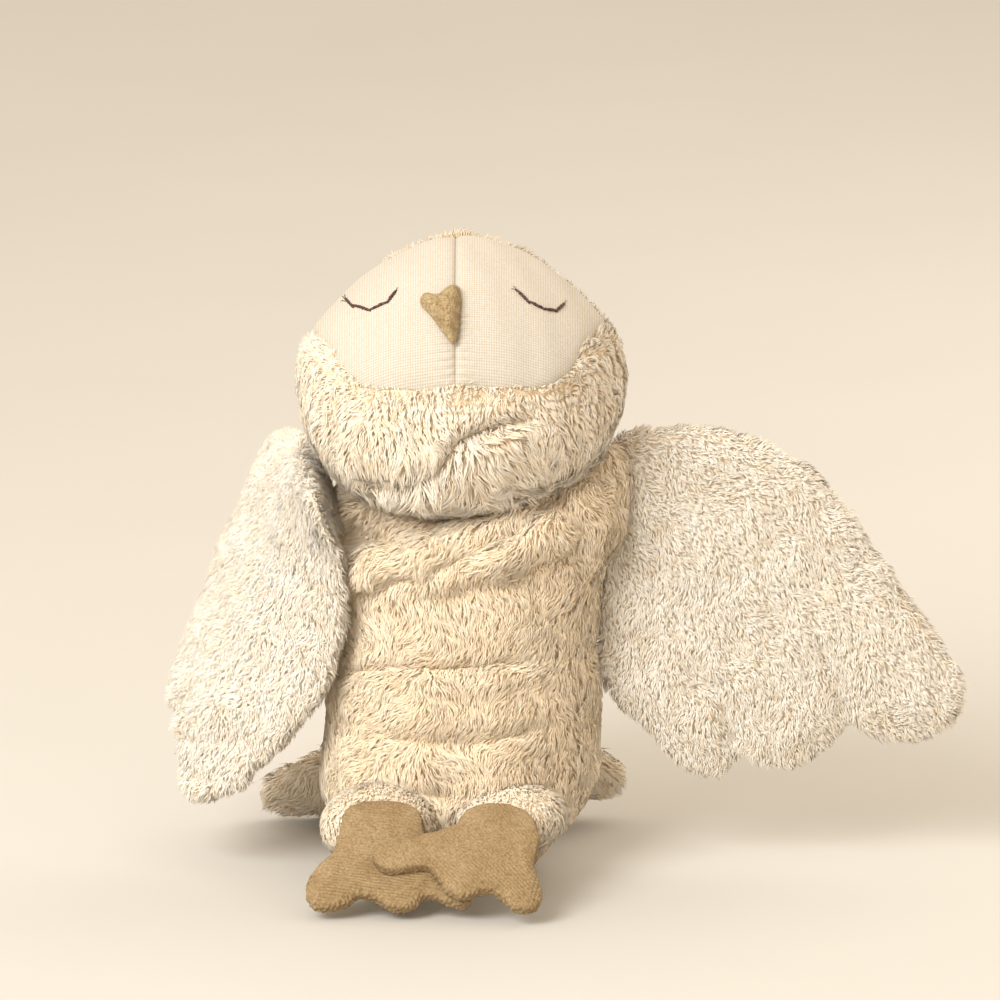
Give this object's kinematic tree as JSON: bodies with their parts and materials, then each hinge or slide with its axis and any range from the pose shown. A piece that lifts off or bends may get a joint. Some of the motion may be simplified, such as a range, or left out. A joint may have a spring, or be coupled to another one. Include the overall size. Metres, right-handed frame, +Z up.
{
  "type": "plush owl",
  "caption": "Stuffed toy owl in long cream pile with a knitted face, closed stitched eyes, a padded beak, one wing spread, one hanging, and velour feet.",
  "frame": {"origin": "middle of the flat seat, on the surface that the toy sits on", "axes": "+Z up through the head; the owl faces -Y, so its own left side and its spread wing are at +X"},
  "size_m": [0.4388, 0.2589, 0.3511],
  "materials": {
    "cream_pile": "long clumped pile",
    "cream_knit": "fine ribbed knit",
    "olive_velour": "short velour",
    "brown_thread": "twisted thread",
    "fibre_fill": "loose fibre"
  },
  "bodies": {
    "body": {"body_front": "cream_pile", "body_back": "cream_pile", "body_stuffing": "fibre_fill"},
    "neck": {"neck_stuffing": "fibre_fill"},
    "head": {"head_cover": "cream_pile", "face_left": "cream_knit", "face_right": "cream_knit", "head_stuffing": "fibre_fill", "beak": "olive_velour", "eye_thread_left": "brown_thread", "eye_thread_right": "brown_thread"},
    "wing_left": {"wing_left_upper": "cream_pile", "wing_left_lower": "cream_pile"},
    "wing_right": {"wing_right_upper": "cream_pile", "wing_right_lower": "cream_pile"},
    "leg_left": {"leg_left": "cream_pile"},
    "leg_right": {"leg_right": "cream_pile"},
    "foot_left": {"foot_left_top": "olive_velour", "foot_left_sole": "olive_velour"},
    "foot_right": {"foot_right_top": "olive_velour", "foot_right_sole": "olive_velour"},
    "tail": {"tail_upper": "cream_pile", "tail_lower": "cream_pile"}
  },
  "joints": [
    {"name": "head_turn", "type": "hinge", "parent": "body", "child": "neck", "pos_m": [0, 0.002, 0.217], "axis": [0, 0, 1], "range_deg": [-35, 35]},
    {"name": "head_nod", "type": "hinge", "parent": "neck", "child": "head", "pos_m": [0, 0.002, 0.217], "axis": [1, 0, 0], "range_deg": [-12, 22]},
    {"name": "wing_left_swing", "type": "hinge", "parent": "body", "child": "wing_left", "pos_m": [0.0913, 0.006, 0.242], "axis": [-0.0876, 0, -0.9962], "range_deg": [-20, 60]},
    {"name": "wing_right_raise", "type": "hinge", "parent": "body", "child": "wing_right", "pos_m": [-0.0798, -0.01, 0.212], "axis": [0, 1, 0], "range_deg": [0, 30]},
    {"name": "leg_left_lift", "type": "hinge", "parent": "body", "child": "leg_left", "pos_m": [0.0265, -0.052, 0.0365], "axis": [1, 0, 0], "range_deg": [-20, 0]},
    {"name": "leg_right_drop", "type": "hinge", "parent": "body", "child": "leg_right", "pos_m": [-0.0465, -0.052, 0.0365], "axis": [1, 0, 0], "range_deg": [0, 40]},
    {"name": "foot_left_lift", "type": "hinge", "parent": "leg_left", "child": "foot_left", "pos_m": [0.0225, -0.074, 0.0447], "axis": [0.9336, -0.3584, 0], "range_deg": [-30, 0]},
    {"name": "foot_right_drop", "type": "hinge", "parent": "leg_right", "child": "foot_right", "pos_m": [-0.047, -0.074, 0.0437], "axis": [0.9877, -0.1564, 0], "range_deg": [0, 25]},
    {"name": "tail_lift", "type": "hinge", "parent": "body", "child": "tail", "pos_m": [-0.012, 0.0534, 0.0815], "axis": [1, 0, 0], "range_deg": [0, 50]}
  ]
}
